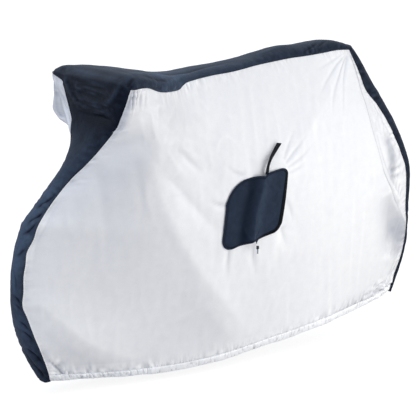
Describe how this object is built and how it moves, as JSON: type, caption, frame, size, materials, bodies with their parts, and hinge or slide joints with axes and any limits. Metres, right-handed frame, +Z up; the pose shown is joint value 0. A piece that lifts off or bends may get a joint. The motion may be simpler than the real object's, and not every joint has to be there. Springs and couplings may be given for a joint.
{
  "type": "bicycle cover",
  "caption": "Fitted cloth cover for a parked bicycle, with two side panels, a dark centre band and a pouch on one side.",
  "frame": {"origin": "the top of the cover over the saddle, where the saddle bears on the cloth from inside; the ground is 1.1385 m below it", "axes": "+X runs back along the bicycle, from the front wheel towards the rear wheel; -Y faces out of the near side, which carries the pouch; +Z is up"},
  "size_m": [1.6965, 0.5449, 1.1114],
  "materials": {
    "silver_cloth": "satin",
    "navy_cloth": "satin",
    "black_webbing": "matte",
    "zip_slider": "painted",
    "zip_pull": "polished"
  },
  "bodies": {
    "root": {"near_side": "silver_cloth", "far_side": "silver_cloth", "centre_band": "navy_cloth", "pouch": "navy_cloth", "pouch_binding": "black_webbing", "webbing_loop": "black_webbing", "zip_slider": "zip_slider", "zip_pull": "zip_pull"}
  },
  "joints": []
}
